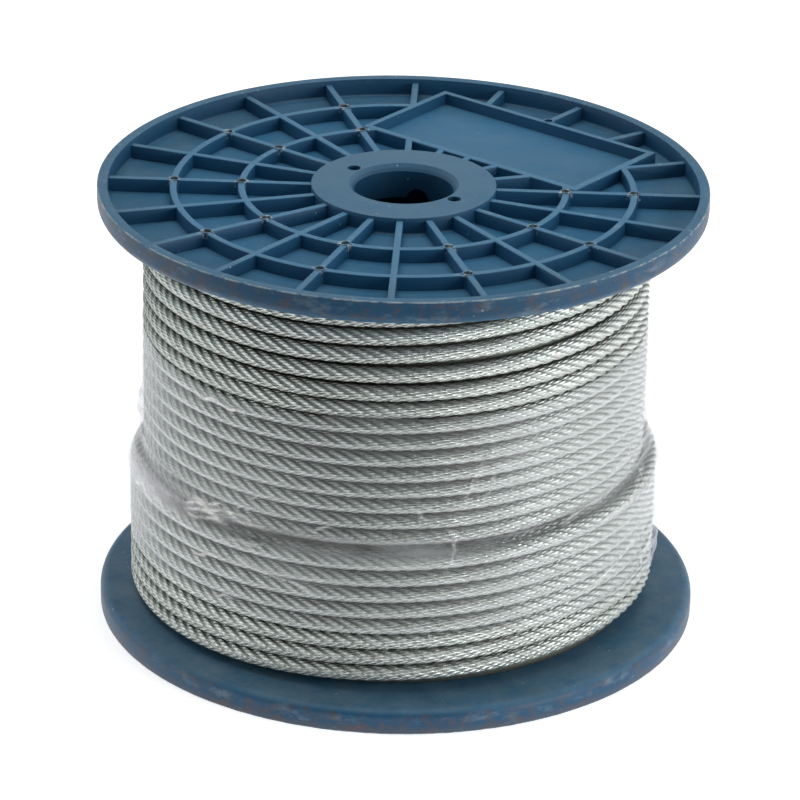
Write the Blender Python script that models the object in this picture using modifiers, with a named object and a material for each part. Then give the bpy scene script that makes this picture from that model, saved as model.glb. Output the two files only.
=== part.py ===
"""Reel of wire rope: two ribbed plastic flanges on a barrel, the wound rope and a band of stretch film.

Metres, +Z up. The reel stands on its lower flange, with its axis on the Z axis.
"""

import math

import bpy
import bmesh

# Sizes of the reel
FLANGE_RADIUS = 0.105
REEL_HEIGHT = 0.158
FLANGE_THICKNESS = 0.0086
EDGE_ROUNDING = 0.0034
RIM_WALL = 0.0036
RIB_DROP = 0.0016
RIB_HEIGHT = 0.0049
RIB_WIDTH = 0.0024
RIB_COUNT = 20
RIB_PHASE = -2.0
INNER_RING = 0.0556
OUTER_RING = 0.0790

# Sizes of the hub
HUB_RADIUS = 0.0318
HUB_DROP = 0.0005
HUB_PLATE = 0.0026
BORE_RADIUS = 0.0171
MOUTH_CHAMFER = 0.0018
MOUTH_DEPTH = 0.0023
SLEEVE_WALL = 0.0026
SLEEVE_LENGTH = 0.0120
DRIVE_HOLE_RADIUS = 0.0023
DRIVE_HOLE_CIRCLE = 0.0219

# Sizes of the label recess between the ribs
LABEL_ANGLE = 52.0
LABEL_RADIUS = 0.0593
LABEL_LENGTH = 0.0936
LABEL_WIDTH = 0.0472
LABEL_DEPTH = 0.0041

# Sizes of the barrel, the rope and the film
BARREL_RADIUS = 0.0335
BARREL_WALL = 0.0028
ROPE_DIAMETER = 0.0060
FULL_RADIUS = 0.0879
WINDING_SHIFT = -0.0018
TOP_TURN_DROP = 0.0147
LOOSE_PITCH = 0.00663
UPPER_PITCH = 0.00587
STEP_PITCH = 0.00735
OUTER_PITCH = 0.00586
LOOSE_TURNS = 4
UPPER_TURNS = 14
OUTER_TURNS = 9
FILM_LOW = 0.0290
FILM_HIGH = 0.1085
FILM_THICKNESS = 0.0004
FILM_SAG = 0.0013
GAP = 0.0003

# A turn's rounded side: depths as shares of the rope's diameter, and half the crest's width as a share of a pitch
TURN_CREST = 0.06
TURN_VALLEY = 0.40
TURN_FLAT = 0.27

# Where the outer layer ends at the back, in turns from the top turn's front, and how the film comes down to it
OUTER_START = 13.4
FILM_LEAVES = 11.7
FILM_LANDS = 12.9

RING_STEPS = 60
ROPE_STEPS = 40

# Levels of one flange, measured from its face on the rope's side
RIM_TOP = FLANGE_THICKNESS
HUB_TOP = RIM_TOP - HUB_DROP
RIB_TOP = RIM_TOP - RIB_DROP
WEB_TOP = RIB_TOP - RIB_HEIGHT
RIB_FOOT = 0.5 * WEB_TOP

# The rope's layers nest, so each one is this much further out than the one below
LAYER_RISE = ROPE_DIAMETER * math.sqrt(3.0) / 2
OUTER_RADIUS = FULL_RADIUS + LAYER_RISE


def empty_scene():
    for old in list(bpy.data.objects):
        bpy.data.objects.remove(old, do_unlink=True)
    for old in list(bpy.data.collections):
        bpy.data.collections.remove(old)


def new_collection(name, hidden=False):
    made = bpy.data.collections.new(name)
    bpy.context.scene.collection.children.link(made)
    made.hide_render = hidden
    return made


def material(name, colour, metallic, roughness, alpha=1.0):
    made = bpy.data.materials.new(name)
    made.use_nodes = True
    shader = made.node_tree.nodes["Principled BSDF"]
    shader.inputs["Base Color"].default_value = (*colour, 1.0)
    shader.inputs["Metallic"].default_value = metallic
    shader.inputs["Roughness"].default_value = roughness
    shader.inputs["Alpha"].default_value = alpha
    made.diffuse_color = (*colour, alpha)
    return made


def mesh_object(name, bm, collection, shade=None):
    mesh = bpy.data.meshes.new(name)
    bmesh.ops.recalc_face_normals(bm, faces=bm.faces[:])
    bm.to_mesh(mesh)
    bm.free()
    made = bpy.data.objects.new(name, mesh)
    collection.objects.link(made)
    if shade:
        mesh.materials.append(shade)
    if collection.hide_render:
        made.hide_render = True
        made.display_type = "WIRE"
    return made


def turned(name, profile, steps, collection, shade=None):
    """A closed profile of (radius, height) points, turned round the Z axis by a Screw."""
    mesh = bpy.data.meshes.new(name)
    points = [(radius, 0.0, height) for radius, height in profile]
    count = len(points)
    edges = [(i, (i + 1) % count) for i in range(count)]
    mesh.from_pydata(points, edges, [])
    made = bpy.data.objects.new(name, mesh)
    collection.objects.link(made)
    if shade:
        mesh.materials.append(shade)
    screw = made.modifiers.new("turn", "SCREW")
    screw.axis = "Z"
    screw.angle = 2.0 * math.pi
    screw.steps = steps
    screw.render_steps = steps
    screw.use_merge_vertices = True
    screw.merge_threshold = 0.00001
    screw.use_smooth_shade = False
    if collection.hide_render:
        made.hide_render = True
        made.display_type = "WIRE"
    return made


def box(bm, centre, size, angle):
    """A box whose length lies along the given polar angle."""
    corners = bmesh.ops.create_cube(bm, size=1.0)["verts"]
    turn = math.radians(angle)
    for corner in corners:
        x = corner.co.x * size[0]
        y = corner.co.y * size[1]
        corner.co.x, corner.co.y, corner.co.z = (
            centre[0] + x * math.cos(turn) - y * math.sin(turn),
            centre[1] + x * math.sin(turn) + y * math.cos(turn),
            centre[2] + corner.co.z * size[2],
        )


def polar(radius, angle, height):
    turn = math.radians(angle)
    return (radius * math.cos(turn), radius * math.sin(turn), height)


def boolean(target, other, operation):
    made = target.modifiers.new(operation.lower() + " " + other.name, "BOOLEAN")
    made.operation = operation
    made.solver = "EXACT"
    made.object = other
    return made


def flange_profile():
    """The flange's section without its ribs, from the bore's mouth round to the bore."""
    rounding = [
        (
            FLANGE_RADIUS - EDGE_ROUNDING * (1.0 - math.cos(math.radians(angle))),
            EDGE_ROUNDING * (1.0 - math.sin(math.radians(angle))),
        )
        for angle in (0, 30, 60, 90)
    ]
    return [
        (BORE_RADIUS + MOUTH_CHAMFER, HUB_TOP),
        (HUB_RADIUS, HUB_TOP),
        (HUB_RADIUS, WEB_TOP),
        (FLANGE_RADIUS - RIM_WALL, WEB_TOP),
        (FLANGE_RADIUS - RIM_WALL, RIM_TOP),
        (FLANGE_RADIUS, RIM_TOP),
        *rounding,
        (HUB_RADIUS - HUB_PLATE, 0.0),
        (HUB_RADIUS - HUB_PLATE, HUB_TOP - HUB_PLATE),
        (BORE_RADIUS + SLEEVE_WALL, HUB_TOP - HUB_PLATE),
        (BORE_RADIUS + SLEEVE_WALL, HUB_TOP - SLEEVE_LENGTH),
        (BORE_RADIUS, HUB_TOP - SLEEVE_LENGTH),
        (BORE_RADIUS, HUB_TOP - MOUTH_DEPTH),
    ]


def ring_profile(radius):
    half = RIB_WIDTH / 2
    return [
        (radius - half, RIB_TOP),
        (radius + half, RIB_TOP),
        (radius + half, RIB_FOOT),
        (radius - half, RIB_FOOT),
    ]


def flange(name, collection, cutters, shade):
    """One flange, ribs up, with its rope side at height 0."""
    made = turned(name, flange_profile(), RING_STEPS, collection, shade)
    ribs = bmesh.new()
    inner = HUB_RADIUS - HUB_PLATE / 2
    outer = FLANGE_RADIUS - RIM_WALL / 2
    for index in range(RIB_COUNT):
        angle = RIB_PHASE + index * 360.0 / RIB_COUNT
        middle = polar((inner + outer) / 2, angle, (RIB_FOOT + RIB_TOP) / 2)
        box(ribs, middle, (outer - inner, RIB_WIDTH, RIB_TOP - RIB_FOOT), angle)
    boolean(made, mesh_object(name + "_ribs", ribs, cutters), "UNION")
    for part, radius in (("inner", INNER_RING), ("outer", OUTER_RING)):
        ring = turned(name + "_" + part + "_ring", ring_profile(radius), RING_STEPS, cutters)
        boolean(made, ring, "UNION")
    frame = bmesh.new()
    middle = polar(LABEL_RADIUS, LABEL_ANGLE, (RIB_FOOT + RIB_TOP) / 2)
    box(frame, middle, (LABEL_WIDTH, LABEL_LENGTH, RIB_TOP - RIB_FOOT), LABEL_ANGLE)
    boolean(made, mesh_object(name + "_frame", frame, cutters), "UNION")
    recess = bmesh.new()
    inside = (LABEL_WIDTH - 2 * RIB_WIDTH, LABEL_LENGTH - 2 * RIB_WIDTH, 2 * LABEL_DEPTH)
    box(recess, polar(LABEL_RADIUS, LABEL_ANGLE, RIB_TOP), inside, LABEL_ANGLE)
    boolean(made, mesh_object(name + "_recess", recess, cutters), "DIFFERENCE")
    holes = bmesh.new()
    for side in (90.0, -90.0):
        spot = polar(DRIVE_HOLE_CIRCLE, LABEL_ANGLE + side, HUB_TOP)
        ends = bmesh.ops.create_cone(
            holes,
            cap_ends=True,
            segments=16,
            radius1=DRIVE_HOLE_RADIUS,
            radius2=DRIVE_HOLE_RADIUS,
            depth=4 * HUB_PLATE,
        )["verts"]
        bmesh.ops.translate(holes, vec=spot, verts=ends)
    boolean(made, mesh_object(name + "_holes", holes, cutters), "DIFFERENCE")
    return made


def smooth(low, high, value):
    share = min(1.0, max(0.0, (value - low) / (high - low)))
    return share * share * (3.0 - 2.0 * share)


def climb(part, turn):
    """How far a turn has climbed at a part of a turn past the front: the lowest turns climb mostly in front."""
    weight = 0.15 + 0.6 * smooth(UPPER_TURNS - 3, UPPER_TURNS + 6, turn)
    return (1.0 - weight) * part + weight * (smooth(-0.18, 0.18, part) - 0.5)


def turn_height(count):
    """The height of the rope's middle, a number of turns down from the top turn's front."""
    last_upper = UPPER_TURNS - 1
    height = REEL_HEIGHT - TOP_TURN_DROP - LOOSE_PITCH * min(count, LOOSE_TURNS)
    height -= UPPER_PITCH * max(0.0, min(count, last_upper) - LOOSE_TURNS)
    height -= STEP_PITCH * max(0.0, min(count, UPPER_TURNS) - last_upper)
    return height - OUTER_PITCH * max(0.0, count - UPPER_TURNS)


def rope_radius(count, depth):
    """The winding's radius at a turn: full, or one layer more on the lower turns."""
    base = OUTER_RADIUS if count >= OUTER_START else FULL_RADIUS
    return base - depth * ROPE_DIAMETER


def film_radius(count, depth):
    """The film's radius at a turn: tight on the crests, sagging between them, bridging the step."""
    landed = min(1.0, max(0.0, (count - FILM_LEAVES) / (FILM_LANDS - FILM_LEAVES)))
    sag = FILM_SAG if depth == TURN_VALLEY else 0.0
    return FULL_RADIUS + (OUTER_RADIUS - FULL_RADIUS) * landed + GAP - sag


def wound_wall(radius_at, low, high, low_radius, high_radius):
    """A wall round the drum that follows the climbing turns, with level round ends: a grid, wrapped."""
    rows = []
    for turn in reversed(range(-1, UPPER_TURNS + OUTER_TURNS + 3)):
        rows += [(turn, 0.5, TURN_VALLEY), (turn, TURN_FLAT, TURN_CREST), (turn, -TURN_FLAT, TURN_CREST)]
    bm = bmesh.new()
    count = len(rows) + 1
    bmesh.ops.create_grid(bm, x_segments=ROPE_STEPS, y_segments=count, size=0.5)
    for vert in bm.verts:
        part = vert.co.x
        row = round((vert.co.y + 0.5) * count)
        if row in (0, count):
            height = low if row == 0 else high
        else:
            turn, offset, depth = rows[row - 1]
            middle = turn - climb(part, turn)
            height = min(high, max(low, turn_height(middle + offset)))
            radius = radius_at(middle + (offset if depth == TURN_VALLEY else 0.0), depth)
        if height <= low + 0.0004:
            height, radius = low, low_radius
        elif height >= high - 0.0004:
            height, radius = high, high_radius
        turn_angle = 2.0 * math.pi * (part - 0.25)
        vert.co = (WINDING_SHIFT + radius * math.cos(turn_angle), radius * math.sin(turn_angle), height)
    bmesh.ops.remove_doubles(bm, verts=bm.verts[:], dist=0.00001)
    bmesh.ops.dissolve_degenerate(bm, edges=bm.edges[:], dist=0.00001)
    bmesh.ops.triangulate(bm, faces=[face for face in bm.faces if len(face.verts) > 3])
    return bm


def level_loop(bm, height):
    """The open edges that lie at a height."""
    return [e for e in bm.edges if e.is_boundary and all(abs(v.co.z - height) < 0.00001 for v in e.verts)]


def rope_winding(collection, shade):
    """The wound rope: full layers and one more over the lower turns, round a straight bore."""
    low = FLANGE_THICKNESS + GAP
    high = REEL_HEIGHT - FLANGE_THICKNESS - GAP
    valley = TURN_VALLEY * ROPE_DIAMETER
    bm = wound_wall(rope_radius, low, high, OUTER_RADIUS - valley, FULL_RADIUS - valley)
    loops = []
    for height in (low, high):
        made = bmesh.ops.extrude_edge_only(bm, edges=level_loop(bm, height))["geom"]
        for vert in (item for item in made if isinstance(item, bmesh.types.BMVert)):
            x = vert.co.x - WINDING_SHIFT
            scale = (BARREL_RADIUS + GAP) / math.hypot(x, vert.co.y)
            vert.co = (x * scale, vert.co.y * scale, height)
        loops += [item for item in made if isinstance(item, bmesh.types.BMEdge)]
    bmesh.ops.bridge_loops(bm, edges=loops)
    return mesh_object("rope_winding", bm, collection, shade)


def stretch_film(collection, shade):
    """The film: one closed skin over the turns, as thick as its few layers."""
    bm = wound_wall(film_radius, FILM_LOW, FILM_HIGH, OUTER_RADIUS + GAP, FULL_RADIUS + GAP)
    made = mesh_object("stretch_film", bm, collection, shade)
    skin = made.modifiers.new("skin", "SOLIDIFY")
    skin.thickness = FILM_THICKNESS
    skin.offset = 1.0
    return made


def build():
    empty_scene()
    reel = new_collection("wire_rope_reel")
    cutters = new_collection("cutters", hidden=True)
    blue = (0.028, 0.085, 0.165)
    top_plastic = material("blue_plastic_top", blue, 0.0, 0.45)
    bottom_plastic = material("blue_plastic_bottom", blue, 0.0, 0.45)
    barrel_plastic = material("blue_plastic_barrel", blue, 0.0, 0.5)
    steel = material("galvanized_rope", (0.42, 0.44, 0.44), 0.8, 0.42)
    clear = material("clear_stretch_film", (0.85, 0.87, 0.88), 0.0, 0.15, 0.25)

    top = flange("flange_top", reel, cutters, top_plastic)
    top.location.z = REEL_HEIGHT - FLANGE_THICKNESS
    bottom = flange("flange_bottom", reel, cutters, bottom_plastic)
    bottom.location.z = FLANGE_THICKNESS
    bottom.rotation_euler.x = math.pi
    for helper in cutters.objects:
        helper.parent = top if helper.name.startswith("flange_top") else bottom

    span = REEL_HEIGHT - FLANGE_THICKNESS - GAP, FLANGE_THICKNESS + GAP
    inside = BARREL_RADIUS - BARREL_WALL
    tube = [(inside, span[0]), (BARREL_RADIUS, span[0]), (BARREL_RADIUS, span[1]), (inside, span[1])]
    turned("barrel", tube, RING_STEPS, reel, barrel_plastic)
    rope_winding(reel, steel)
    stretch_film(reel, clear)


build()
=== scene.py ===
"""Looks of a reel of galvanized wire rope: moulded flanges, the wound rope and its stretch film."""

import math

import bmesh
import bpy
import numpy as np
from mathutils import Matrix, Vector, noise


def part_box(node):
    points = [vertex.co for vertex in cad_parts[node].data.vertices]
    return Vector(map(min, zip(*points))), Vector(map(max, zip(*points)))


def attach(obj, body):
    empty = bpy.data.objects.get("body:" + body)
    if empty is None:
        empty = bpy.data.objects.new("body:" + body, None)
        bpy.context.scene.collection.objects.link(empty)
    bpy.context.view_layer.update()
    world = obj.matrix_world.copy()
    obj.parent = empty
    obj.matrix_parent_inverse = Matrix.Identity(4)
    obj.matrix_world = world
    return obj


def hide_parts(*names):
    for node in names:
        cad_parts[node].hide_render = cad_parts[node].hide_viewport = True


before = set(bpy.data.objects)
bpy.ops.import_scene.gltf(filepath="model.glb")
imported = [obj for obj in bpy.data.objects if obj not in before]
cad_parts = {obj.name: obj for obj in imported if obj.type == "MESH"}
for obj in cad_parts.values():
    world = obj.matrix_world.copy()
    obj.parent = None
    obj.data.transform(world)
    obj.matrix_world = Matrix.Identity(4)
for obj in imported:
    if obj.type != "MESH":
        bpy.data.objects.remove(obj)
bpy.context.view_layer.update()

MM = 0.001

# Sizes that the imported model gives
REEL_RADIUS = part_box("flange_top")[1].x
REEL_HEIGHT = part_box("flange_top")[1].z
WINDING_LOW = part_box("rope_winding")[0].z
WINDING_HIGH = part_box("rope_winding")[1].z
BARREL_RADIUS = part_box("barrel")[1].x
GAP = 0.3 * MM
FLANGE_THICKNESS = WINDING_LOW - GAP

# Flange, in its own frame with the ribs up and the rope's side at height 0
EDGE_ROUNDING = 3.4 * MM
RIM_WALL = 3.6 * MM
RIB_TOP = FLANGE_THICKNESS - 1.6 * MM
WEB_TOP = RIB_TOP - 4.9 * MM
RIB_FOOT = 0.5 * WEB_TOP
RIB_WIDTH = 2.4 * MM
RIB_COUNT = 20
RIB_PHASE = -2.0
RING_RADII = (55.6 * MM, 79.0 * MM)
TOP_ROUNDING = 0.35 * MM
FILLET = 0.9 * MM
HUB_RADIUS = 31.8 * MM
HUB_TOP = FLANGE_THICKNESS - 0.5 * MM
HUB_PLATE = 2.6 * MM
BORE_RADIUS = 17.1 * MM
MOUTH_CHAMFER = 1.8 * MM
MOUTH_DEPTH = 2.3 * MM
SLEEVE_WALL = 2.6 * MM
SLEEVE_LENGTH = 12.0 * MM
DRIVE_HOLE_RADIUS = 2.3 * MM
DRIVE_HOLE_CIRCLE = 21.9 * MM
LABEL_ANGLE = 52.0
LABEL_CENTRE = 59.3 * MM
LABEL_LENGTH = 93.6 * MM
LABEL_WIDTH = 47.2 * MM
LABEL_DEPTH = 4.1 * MM
LABEL_LIFT = 0.06 * MM
BOSS_RADIUS = 2.1 * MM
BOSS_SINK = 0.7 * MM
NOTCH_ANGLE = 73.0
NOTCH_RADIUS = 4.0 * MM
NOTCH_HEIGHT = 3.3 * MM
SPIN_STEPS = 200

# Rope: six strands laid right-handed
ROPE = 5.7 * MM
LAY = 32.0 * MM
STRANDS = 6
RING_SPACING = 2.0 * MM
RING_RADIUS = 87.0 * MM
WIRES = 24

# Winding: the reel's drum sits a little off the flanges' axis
WINDING_CENTRE = Vector((-1.8 * MM, 0.0, 0.0))
UPPER_CREST = 87.8 * MM
OUTER_CREST = 92.4 * MM
FRONT = -90.0
TOP_TURN = 143.3 * MM
UPPER_SPACINGS = (6.5, 6.6, 6.7, 6.7, 6.1, 5.9, 6.0, 6.0, 5.85, 5.75, 5.75, 5.8, 5.7)
OUTER_SPACINGS = (6.0, 5.9, 5.9, 5.8, 5.7, 5.9, 6.0)
OUTER_TOP_TURN = 56.6 * MM

# The photograph's camera: millimetres for the lens, metres and degrees for the rest
CAMERA_LENS = 205.8
CAMERA_DISTANCE = 1.6013
CAMERA_ELEVATION = 24.40
CAMERA_ROLL = -1.155

# Stretch film: the overlap of its ends in degrees and the grid it is made of
FILM_OVERLAP = 10.0
FILM_GRID = (720, 116)


def rgb(text):
    """An sRGB hex colour as linear values."""
    values = [int(text[i : i + 2], 16) / 255.0 for i in (1, 3, 5)]
    return tuple(v / 12.92 if v <= 0.04045 else ((v + 0.055) / 1.055) ** 2.4 for v in values) + (1.0,)


def smooth(low, high, value):
    """0 below low, 1 above high and an even S between."""
    share = min(1.0, max(0.0, (value - low) / (high - low)))
    return share * share * (3.0 - 2.0 * share)


def polar(radius, degrees, height=0.0):
    turn = math.radians(degrees)
    return Vector((radius * math.cos(turn), radius * math.sin(turn), height))


def arc(centre, radius, start, end, steps):
    """Points on a round corner of a section, from one angle to another."""
    angles = [math.radians(start + (end - start) * i / steps) for i in range(steps + 1)]
    return [(centre[0] + radius * math.cos(a), centre[1] + radius * math.sin(a)) for a in angles]


def link(name, mesh):
    made = bpy.data.objects.new(name, mesh)
    bpy.context.scene.collection.objects.link(made)
    return made


def mesh_of(name, bm):
    mesh = bpy.data.meshes.new(name)
    bmesh.ops.recalc_face_normals(bm, faces=bm.faces[:])
    bm.to_mesh(mesh)
    bm.free()
    return mesh


def spun(bm, section, steps):
    """Turns a closed section of (radius, height) points round the Z axis."""
    corners = [bm.verts.new((radius, 0.0, height)) for radius, height in section]
    edges = [bm.edges.new((a, b)) for a, b in zip(corners, corners[1:] + corners[:1])]
    bmesh.ops.spin(
        bm,
        geom=corners + edges,
        cent=(0.0, 0.0, 0.0),
        axis=(0.0, 0.0, 1.0),
        angle=2.0 * math.pi,
        steps=steps,
        use_merge=True,
    )


def evaluated(obj):
    """The object's mesh with its modifiers applied."""
    graph = bpy.context.evaluated_depsgraph_get()
    return bpy.data.meshes.new_from_object(obj.evaluated_get(graph))


# Flanges


def flange_section():
    web_fillet_in = (HUB_RADIUS + FILLET, WEB_TOP + FILLET)
    rim_inner = REEL_RADIUS - RIM_WALL
    web_fillet_out = (rim_inner - FILLET, WEB_TOP + FILLET)
    rim_top = FLANGE_THICKNESS - TOP_ROUNDING
    edge = EDGE_ROUNDING
    return [
        (BORE_RADIUS + MOUTH_CHAMFER, HUB_TOP),
        *arc((HUB_RADIUS - TOP_ROUNDING, HUB_TOP - TOP_ROUNDING), TOP_ROUNDING, 90, 0, 3),
        *arc(web_fillet_in, FILLET, 180, 270, 4),
        *arc(web_fillet_out, FILLET, 270, 360, 4),
        *arc((rim_inner + TOP_ROUNDING, rim_top), TOP_ROUNDING, 180, 90, 3),
        *arc((REEL_RADIUS - TOP_ROUNDING, rim_top), TOP_ROUNDING, 90, 0, 3),
        *arc((REEL_RADIUS - edge, edge), edge, 0, -90, 8),
        (HUB_RADIUS - HUB_PLATE, 0.0),
        (HUB_RADIUS - HUB_PLATE, HUB_TOP - HUB_PLATE),
        (BORE_RADIUS + SLEEVE_WALL, HUB_TOP - HUB_PLATE),
        (BORE_RADIUS + SLEEVE_WALL, HUB_TOP - SLEEVE_LENGTH),
        (BORE_RADIUS, HUB_TOP - SLEEVE_LENGTH),
        (BORE_RADIUS, HUB_TOP - MOUTH_DEPTH),
    ]


def block(bm, size, centre, degrees, rounding):
    """A box with its top edges rounded, its length along the given polar angle."""
    corners = bmesh.ops.create_cube(bm, size=1.0)["verts"]
    bmesh.ops.scale(bm, vec=size, verts=corners)
    top = max(v.co.z for v in corners)
    edges = {e for v in corners for e in v.link_edges if min(w.co.z for w in e.verts) > top - 1e-7}
    made = bmesh.ops.bevel(
        bm,
        geom=list(edges),
        affect="EDGES",
        offset=rounding,
        segments=3,
        profile=0.5,
        material=-1,
        clamp_overlap=True,
    )
    verts = {v for f in made["faces"] for v in f.verts} | {v for v in corners if v.is_valid}
    place = Matrix.Translation(centre) @ Matrix.Rotation(math.radians(degrees), 4, "Z")
    bmesh.ops.transform(bm, matrix=place, verts=list(verts))


def ribs():
    bm = bmesh.new()
    inner = HUB_RADIUS - HUB_PLATE / 2
    outer = REEL_RADIUS - RIM_WALL / 2
    size = (outer - inner, RIB_WIDTH, RIB_TOP - RIB_FOOT)
    for index in range(RIB_COUNT):
        angle = RIB_PHASE + index * 360.0 / RIB_COUNT
        block(bm, size, polar((inner + outer) / 2, angle, (RIB_FOOT + RIB_TOP) / 2), angle, TOP_ROUNDING)
    return mesh_of("ribs", bm)


def ring(radius, drop):
    """A ring rib, set a hair lower than the radial ribs so that no two tops lie in one plane."""
    half = RIB_WIDTH / 2
    rim = TOP_ROUNDING
    top = RIB_TOP - drop
    bm = bmesh.new()
    section = [
        (radius - half, RIB_FOOT - drop),
        *arc((radius - half + rim, top - rim), rim, 180, 90, 3),
        *arc((radius + half - rim, top - rim), rim, 90, 0, 3),
        (radius + half, RIB_FOOT - drop),
    ]
    spun(bm, section, SPIN_STEPS)
    return mesh_of("ring", bm)


def label_block():
    bm = bmesh.new()
    size = (LABEL_WIDTH, LABEL_LENGTH, RIB_TOP - RIB_FOOT)
    centre = polar(LABEL_CENTRE, LABEL_ANGLE, (RIB_FOOT + RIB_TOP) / 2 + LABEL_LIFT)
    block(bm, size, centre, LABEL_ANGLE, TOP_ROUNDING)
    return mesh_of("label_block", bm)


def label_recess():
    bm = bmesh.new()
    size = (LABEL_WIDTH - 2 * RIB_WIDTH, LABEL_LENGTH - 2 * RIB_WIDTH, 2 * LABEL_DEPTH)
    corners = bmesh.ops.create_cube(bm, size=1.0)["verts"]
    place = Matrix.Translation(polar(LABEL_CENTRE, LABEL_ANGLE, RIB_TOP + LABEL_LIFT))
    turn = Matrix.Rotation(math.radians(LABEL_ANGLE), 4, "Z")
    bmesh.ops.transform(bm, matrix=place @ turn @ Matrix.Diagonal((*size, 1.0)), verts=corners)
    return mesh_of("label_recess", bm)


def in_label(spot, margin):
    """True where a point lies within the label recess, grown by a margin."""
    local = Matrix.Rotation(-math.radians(LABEL_ANGLE), 3, "Z") @ spot
    along = abs(local.y)
    across = abs(local.x - LABEL_CENTRE)
    return along < LABEL_LENGTH / 2 + margin and across < LABEL_WIDTH / 2 + margin


def boss_spots():
    """Where the ejector pins pushed: each second rib's crossings with the rings, and one on the recess."""
    spots = []
    for index in range(0, RIB_COUNT, 2):
        angle = RIB_PHASE + index * 360.0 / RIB_COUNT
        spots += [polar(radius, angle) for radius in RING_RADII]
    spots = [spot for spot in spots if not in_label(spot, BOSS_RADIUS)]
    spots.append(polar(LABEL_CENTRE + LABEL_WIDTH / 2, LABEL_ANGLE))
    return spots


def pegs(name, spots, radius, low, high, sides):
    bm = bmesh.new()
    for spot in spots:
        made = bmesh.ops.create_cone(
            bm,
            cap_ends=True,
            segments=sides,
            radius1=radius,
            radius2=radius,
            depth=high - low,
        )["verts"]
        bmesh.ops.translate(bm, vec=(spot.x, spot.y, (low + high) / 2), verts=made)
    return mesh_of(name, bm)


def sleeve_notch():
    """A lying cylinder that cuts an arch into the lower end of the bore's sleeve."""
    bm = bmesh.new()
    made = bmesh.ops.create_cone(
        bm,
        cap_ends=True,
        segments=32,
        radius1=NOTCH_RADIUS,
        radius2=NOTCH_RADIUS,
        depth=4 * SLEEVE_WALL,
    )["verts"]
    height = HUB_TOP - SLEEVE_LENGTH + NOTCH_HEIGHT - NOTCH_RADIUS
    place = Matrix.Translation(polar(BORE_RADIUS + SLEEVE_WALL / 2, NOTCH_ANGLE, height))
    turn = Matrix.Rotation(math.radians(NOTCH_ANGLE), 4, "Z") @ Matrix.Rotation(math.pi / 2, 4, "Y")
    bmesh.ops.transform(bm, matrix=place @ turn, verts=made)
    return mesh_of("sleeve_notch", bm)


def flange_mesh():
    """One moulded flange, ribs up: the turned dish, then what is joined on and what is cut."""
    bm = bmesh.new()
    spun(bm, flange_section(), SPIN_STEPS)
    body = link("flange_blank", mesh_of("flange_blank", bm))
    drive_holes = [polar(DRIVE_HOLE_CIRCLE, LABEL_ANGLE + side) for side in (90.0, -90.0)]
    bosses = boss_spots()
    hole_low = HUB_TOP - 4 * HUB_PLATE
    steps = [
        ("UNION", ribs()),
        ("UNION", ring(RING_RADII[0], 0.04 * MM)),
        ("UNION", ring(RING_RADII[1], 0.05 * MM)),
        ("UNION", label_block()),
        ("DIFFERENCE", label_recess()),
        ("UNION", pegs("bosses", bosses, BOSS_RADIUS, RIB_FOOT, RIB_TOP + 0.15 * MM, 20)),
        ("DIFFERENCE", pegs("sinks", bosses, 0.72 * BOSS_RADIUS, RIB_TOP - BOSS_SINK, 2 * RIB_TOP, 16)),
        ("DIFFERENCE", pegs("drive_holes", drive_holes, DRIVE_HOLE_RADIUS, hole_low, 2 * HUB_TOP, 28)),
        ("DIFFERENCE", sleeve_notch()),
    ]
    helpers = []
    for operation, mesh in steps:
        helper = link(mesh.name, mesh)
        helpers.append(helper)
        join = body.modifiers.new(mesh.name, "BOOLEAN")
        join.operation = operation
        join.solver = "EXACT"
        join.object = helper
    made = evaluated(body)
    for helper in [body, *helpers]:
        bpy.data.objects.remove(helper, do_unlink=True)
    made.shade_smooth()
    made.set_sharp_from_angle(angle=math.radians(34))
    return made


def flanges():
    upper = flange_mesh()
    lower = upper.copy()
    upper.transform(Matrix.Translation((0.0, 0.0, REEL_HEIGHT - FLANGE_THICKNESS)))
    lower.transform(Matrix.Translation((0.0, 0.0, FLANGE_THICKNESS)) @ Matrix.Rotation(math.pi, 4, "X"))
    top = link("top_flange", upper)
    bottom = link("bottom_flange", lower)
    return top, bottom


# Rope


def turn_heights():
    """The height of each turn's middle in front, from the top turn down."""
    heights = [TOP_TURN]
    for step in UPPER_SPACINGS:
        heights.append(heights[-1] - step * MM)
    heights.append(OUTER_TOP_TURN)
    for step in OUTER_SPACINGS:
        heights.append(heights[-1] - step * MM)
    return heights


HEIGHTS = turn_heights()
UPPER_TURNS = len(UPPER_SPACINGS) + 1
OUTER_TURNS = len(OUTER_SPACINGS) + 1


def height_at(index):
    """The height in front of a turn counted from the top, between turns too."""
    if index <= 0:
        return HEIGHTS[0] - index * 6.3 * MM
    last = len(HEIGHTS) - 1
    if index >= last:
        return HEIGHTS[-1] - (index - last) * 5.9 * MM
    whole = int(index)
    return HEIGHTS[whole] + (HEIGHTS[whole + 1] - HEIGHTS[whole]) * (index - whole)


def climb(part, low_turn):
    """How far a turn has climbed at a part of a turn past the front, from -0.5 to 0.5.

    The lowest turns climb mostly in front, where they cross over the layer below."""
    weight = 0.15 + 0.6 * low_turn
    crossing = smooth(-0.17, 0.19, part) - smooth(-0.17, 0.19, 0.0)
    return (1.0 - weight) * part + weight * crossing


def turn_at(turns):
    """The turn's index at a place, given in turns up from the top one, and the part past the front."""
    whole = math.floor(turns + 0.5)
    part = turns - whole
    low_turn = smooth(11.0, 20.0, -whole)
    ends = climb(0.5, low_turn) - climb(-0.5, low_turn)
    middle = climb(0.5, low_turn) / ends - 0.5
    return -whole - climb(part, low_turn) / ends + middle * math.sin(math.pi * abs(part)) ** 2, part


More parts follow.
